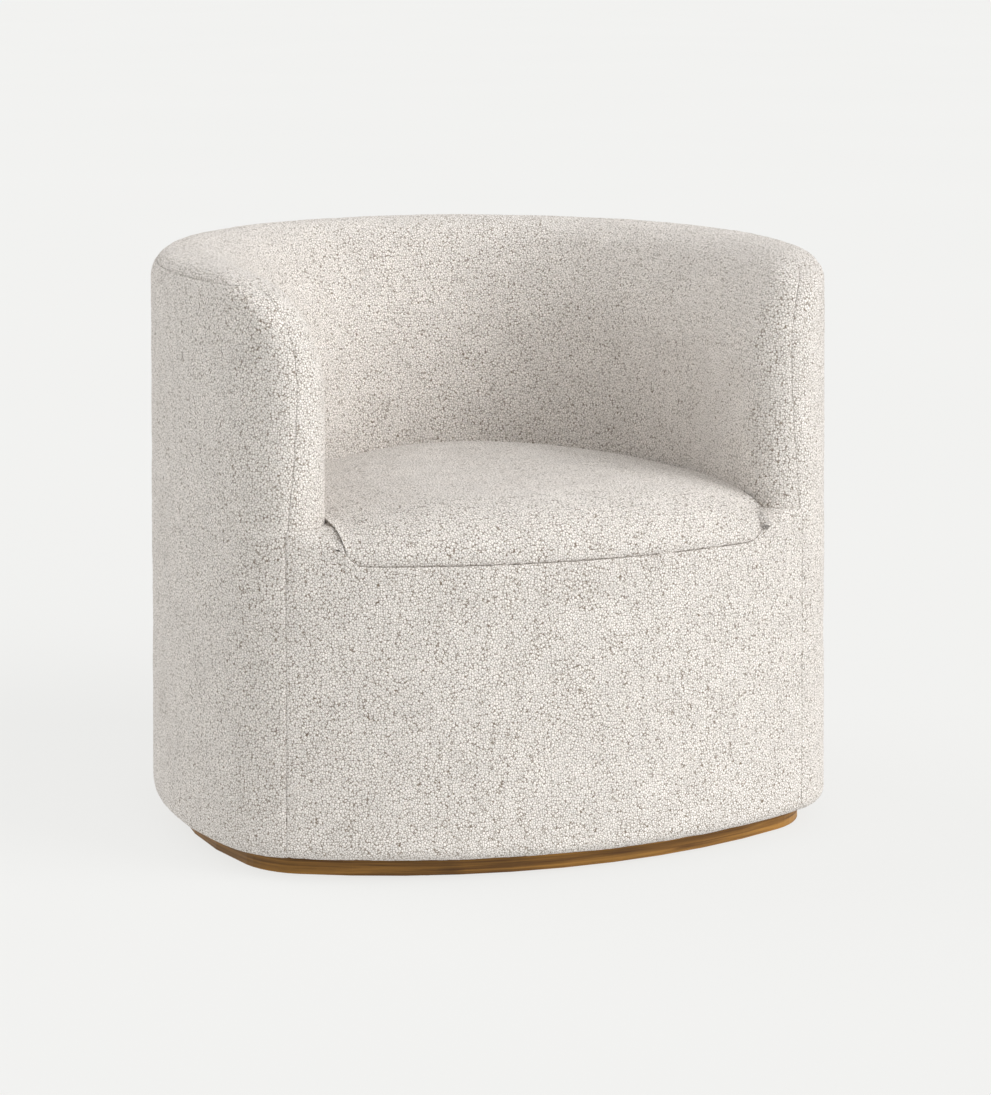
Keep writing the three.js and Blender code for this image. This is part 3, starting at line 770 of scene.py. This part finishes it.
def loop_fabric():
    """Curly looped yarn: small rounded nubs of uneven tone, with thin gaps between them painted
    dark as shade.
    """
    material, tree, shader = start_material("loop_fabric")
    where = node(tree, "ShaderNodeTexCoord").outputs["Object"]
    drift = node(tree, "ShaderNodeTexNoise", {"Vector": where, "Scale": 190.0, "Detail": 1.0})
    drift = scaled(tree, drift.outputs["Color"], LOOP_DRIFT)
    curled = node(tree, "ShaderNodeVectorMath", {0: where, 1: drift}, operation="ADD").outputs[0]
    layout = {"Vector": curled, "Scale": 1 / LOOP_SIZE, "Randomness": 0.92}
    nubs = node(tree, "ShaderNodeTexVoronoi", layout)
    gaps = node(tree, "ShaderNodeTexVoronoi", layout, feature="DISTANCE_TO_EDGE")
    dome = remap(tree, nubs.outputs["Distance"], 0.0, 0.8, 1.0, 0.0)
    clear = remap(tree, gaps.outputs["Distance"], 0.01, 0.17)
    fuzz = node(tree, "ShaderNodeTexNoise",
                {"Vector": where, "Scale": 1000.0, "Detail": 2.0, "Roughness": 0.6})
    height = math_node(tree, "MULTIPLY", dome, 0.34)
    height = math_node(tree, "ADD", height, math_node(tree, "MULTIPLY", clear, 0.48))
    height = math_node(tree, "ADD", height, math_node(tree, "MULTIPLY", fuzz.outputs["Fac"], 0.3))
    # Painted shade: the colour follows the height, so the gaps between the nubs are painted dark.
    colour = ramp(tree, height, [(0.22, LOOP_GAP_SHADE), (0.45, LOOP_MID), (0.80, LOOP_LIGHT)])
    patches = node(tree, "ShaderNodeTexNoise", {"Vector": where, "Scale": 26.0, "Detail": 4.0})
    tone = remap(tree, patches.outputs["Fac"], 0.3, 0.7, 0.95, 1.03)
    each = node(tree, "ShaderNodeSeparateColor", {"Color": nubs.outputs["Color"]}).outputs["Red"]
    tone = math_node(tree, "MULTIPLY", tone, remap(tree, each, 0.0, 1.0, 0.90, 1.06))
    tree.links.new(scaled(tree, colour, tone), shader.inputs["Base Color"])
    rough = remap(tree, fuzz.outputs["Fac"], 0.2, 0.8, 0.86, 1.0)
    tree.links.new(rough, shader.inputs["Roughness"])
    shader.inputs["Specular IOR Level"].default_value = 0.2
    shader.inputs["Sheen Weight"].default_value = 0.15
    shader.inputs["Sheen Roughness"].default_value = 0.6
    bump = node(tree, "ShaderNodeBump", {"Height": height, "Strength": 0.8, "Distance": 0.0016})
    tree.links.new(bump.outputs["Normal"], shader.inputs["Normal"])
    return material


def wood(name, dark, light, scale, roughness, knots=0.0, painted_left_shade=0.0):
    """Wood with grain lines along one direction; the last argument is how much darker its left side
    is painted than its right, as painted shade.
    """
    material, tree, shader = start_material(name)
    where = node(tree, "ShaderNodeTexCoord").outputs["Object"]
    stretched = node(tree, "ShaderNodeMapping", {"Vector": where, "Scale": scale}).outputs[0]
    grain = node(tree, "ShaderNodeTexNoise", {
        "Vector": stretched, "Scale": 1.0, "Detail": 8.0, "Roughness": 0.62, "Distortion": 0.6,
    })
    pores = node(tree, "ShaderNodeTexNoise",
                 {"Vector": stretched, "Scale": 5.0, "Detail": 3.0, "Roughness": 0.8})
    patches = node(tree, "ShaderNodeTexNoise", {"Vector": where, "Scale": 9.0, "Detail": 2.0})
    middle = tuple((a + b) / 2 for a, b in zip(dark, light))
    lines = ramp(tree, grain.outputs["Fac"], [(0.33, dark), (0.50, middle), (0.66, light)])
    tone = remap(tree, patches.outputs["Fac"], 0.3, 0.7, 0.78, 1.12)
    # Painted shade: the colour is darker towards the left side and full towards the right, as the
    # light falls from the right.
    across = node(tree, "ShaderNodeSeparateXYZ", {"Vector": where}).outputs["X"]
    tone = math_node(tree, "MULTIPLY", tone, remap(tree, across, -0.3, 0.3, 1 - painted_left_shade, 1.0))
    speck = remap(tree, pores.outputs["Fac"], 0.55, 0.72, 1.0, 0.62)
    colour = scaled(tree, scaled(tree, lines, tone), speck)
    if knots:
        spots = node(tree, "ShaderNodeTexVoronoi", {"Vector": where, "Scale": 7.0})
        ring = remap(tree, spots.outputs["Distance"], 0.02, 0.16, knots, 0.0)
        colour = blend_colour(tree, ring, colour, tuple(c * 0.35 for c in dark))
    tree.links.new(colour, shader.inputs["Base Color"])
    rough = remap(tree, grain.outputs["Fac"], 0.3, 0.7, roughness + 0.08, roughness - 0.06)
    tree.links.new(rough, shader.inputs["Roughness"])
    shader.inputs["Specular IOR Level"].default_value = 0.3
    bump = node(tree, "ShaderNodeBump",
                {"Height": grain.outputs["Fac"], "Strength": 0.35, "Distance": 0.0006})
    tree.links.new(bump.outputs["Normal"], shader.inputs["Normal"])
    return material


def plain(name, colours, size, roughness, metallic=0.0, woven=False):
    """A mottled finish in two colours, or a fine plain weave."""
    material, tree, shader = start_material(name)
    where = node(tree, "ShaderNodeTexCoord").outputs["Object"]
    noise = node(tree, "ShaderNodeTexNoise",
                 {"Vector": where, "Scale": 1 / size, "Detail": 5.0, "Roughness": 0.65})
    pattern = noise.outputs["Fac"]
    if woven:
        threads = [
            node(tree, "ShaderNodeTexWave",
                 {"Vector": where, "Scale": 0.16 / size, "Distortion": 0.4},
                 bands_direction=axis).outputs["Fac"]
            for axis in ("X", "Y")
        ]
        weave = math_node(tree, "MULTIPLY", threads[0], threads[1])
        pattern = math_node(tree, "ADD", math_node(tree, "MULTIPLY", weave, 0.6),
                            math_node(tree, "MULTIPLY", pattern, 0.4))
    colour = ramp(tree, pattern, [(0.3, colours[0]), (0.7, colours[1])])
    tree.links.new(colour, shader.inputs["Base Color"])
    rough = remap(tree, pattern, 0.3, 0.7, roughness - 0.07, roughness + 0.07)
    tree.links.new(rough, shader.inputs["Roughness"])
    shader.inputs["Metallic"].default_value = metallic
    bump = node(tree, "ShaderNodeBump", {"Height": pattern, "Strength": 0.4, "Distance": 0.0003})
    tree.links.new(bump.outputs["Normal"], shader.inputs["Normal"])
    return material


def carried_over_finishes():
    """Finish for each CAD node that stays, by the first word of its name."""
    # The plinth's wood is painted darker on its left, as painted shade.
    plinth = wood("plinth_wood", (0.12, 0.048, 0.007), (0.44, 0.212, 0.038), (5.0, 5.0, 230.0),
                  0.5, knots=0.75, painted_left_shade=0.36)
    hard = wood("hardwood", (0.42, 0.27, 0.14), (0.66, 0.47, 0.28), (120.0, 120.0, 5.0), 0.6)
    ply = wood("plywood", (0.46, 0.32, 0.18), (0.68, 0.52, 0.33), (14.0, 60.0, 600.0), 0.62)
    board = plain("fibreboard", ((0.30, 0.20, 0.11), (0.45, 0.33, 0.20)), 0.004, 0.8)
    cloth = plain("black_cloth", ((0.010, 0.010, 0.010), (0.04, 0.04, 0.04)), 0.0012, 0.9,
                  woven=True)
    steel = plain("spring_steel", ((0.34, 0.35, 0.36), (0.58, 0.59, 0.60)), 0.006, 0.35,
                  metallic=1.0)
    nylon = plain("glide_nylon", ((0.015, 0.015, 0.015), (0.03, 0.03, 0.03)), 0.002, 0.55)
    by_prefix = {
        "plinth_rim": plinth, "plinth_board": ply, "plinth_screw": steel,
        "bottom": ply, "top_ring": ply,
        "front_post": hard, "side_post": hard, "back_post": hard, "front_stud": hard,
        "side_rail": hard, "front_rail": hard, "back_rail": hard,
        "outer_board": board, "front_board": board, "inner_board": board,
        "seat_spring": steel, "spring_clip": steel,
        "seat_deck_cloth": cloth, "dust_cover": cloth,
        "glide": nylon,
    }
    for name, obj in NODES.items():
        if obj.hide_render:
            continue
        finish = next(m for prefix, m in by_prefix.items() if name.startswith(prefix))
        obj.data.materials.clear()
        obj.data.materials.append(finish)


# ---------------------------------------------------------------- studio
FLOOR_HALF = 120.0
FLOOR_GLOW = 0.748           # keeps the floor as pale as the backdrop, with hardly any shadow
WORLD_LIGHT = 0.575
WORLD_SEEN = 0.99            # brightness of the backdrop to the camera


def add_sun(name, energy, spread, azimuth, elevation):
    """A soft light from far off; azimuth 0 is straight in front, 90 to the right."""
    data = bpy.data.lights.new(name, "SUN")
    data.energy = energy
    data.angle = math.radians(spread)
    light = bpy.data.objects.new(name, data)
    azimuth, elevation = math.radians(azimuth), math.radians(elevation)
    towards = mathutils.Vector((
        math.sin(azimuth) * math.cos(elevation),
        -math.cos(azimuth) * math.cos(elevation),
        math.sin(elevation),
    ))
    light.rotation_euler = towards.to_track_quat("Z", "Y").to_euler()
    bpy.context.scene.collection.objects.link(light)


def add_studio():
    corners = np.array([(-1, -1, 0), (1, -1, 0), (1, 1, 0), (-1, 1, 0)]) * FLOOR_HALF
    floor = new_mesh("floor", corners, [[0, 1, 2, 3]])
    material, tree, shader = start_material("floor_pale")
    where = node(tree, "ShaderNodeTexCoord").outputs["Object"]
    faint = node(tree, "ShaderNodeTexNoise", {"Vector": where, "Scale": 0.6, "Detail": 1.0})
    tones = [(0.3, (0.118, 0.118, 0.116)), (0.7, (0.122, 0.122, 0.12))]
    colour = ramp(tree, faint.outputs["Fac"], tones)
    tree.links.new(colour, shader.inputs["Base Color"])
    shader.inputs["Roughness"].default_value = 0.9
    shader.inputs["Specular IOR Level"].default_value = 0.0
    shader.inputs["Emission Color"].default_value = (1.0, 1.0, 0.985, 1)
    shader.inputs["Emission Strength"].default_value = FLOOR_GLOW
    floor.data.materials.append(material)

    world = bpy.data.worlds.new("studio")
    world.use_nodes = True
    background = world.node_tree.nodes["Background"]
    background.inputs["Color"].default_value = (0.9, 0.9, 0.895, 1)
    seen = node(world.node_tree, "ShaderNodeLightPath").outputs["Is Camera Ray"]
    strength = remap(world.node_tree, seen, 0.0, 1.0, WORLD_LIGHT, WORLD_SEEN)
    world.node_tree.links.new(strength, background.inputs["Strength"])
    bpy.context.scene.world = world
    bpy.context.scene.view_settings.view_transform = "Standard"

    add_sun("key", 1.85, 40, 54, 31)
    add_sun("front", 0.88, 50, 20, 34)
    add_sun("side", 1.15, 50, -130, 30)


add_camera()
fabric = loop_fabric()
outside_panel(fabric)
inside_panel(fabric)
front_panel(fabric)
seat_cushion(fabric)
carried_over_finishes()
add_studio()
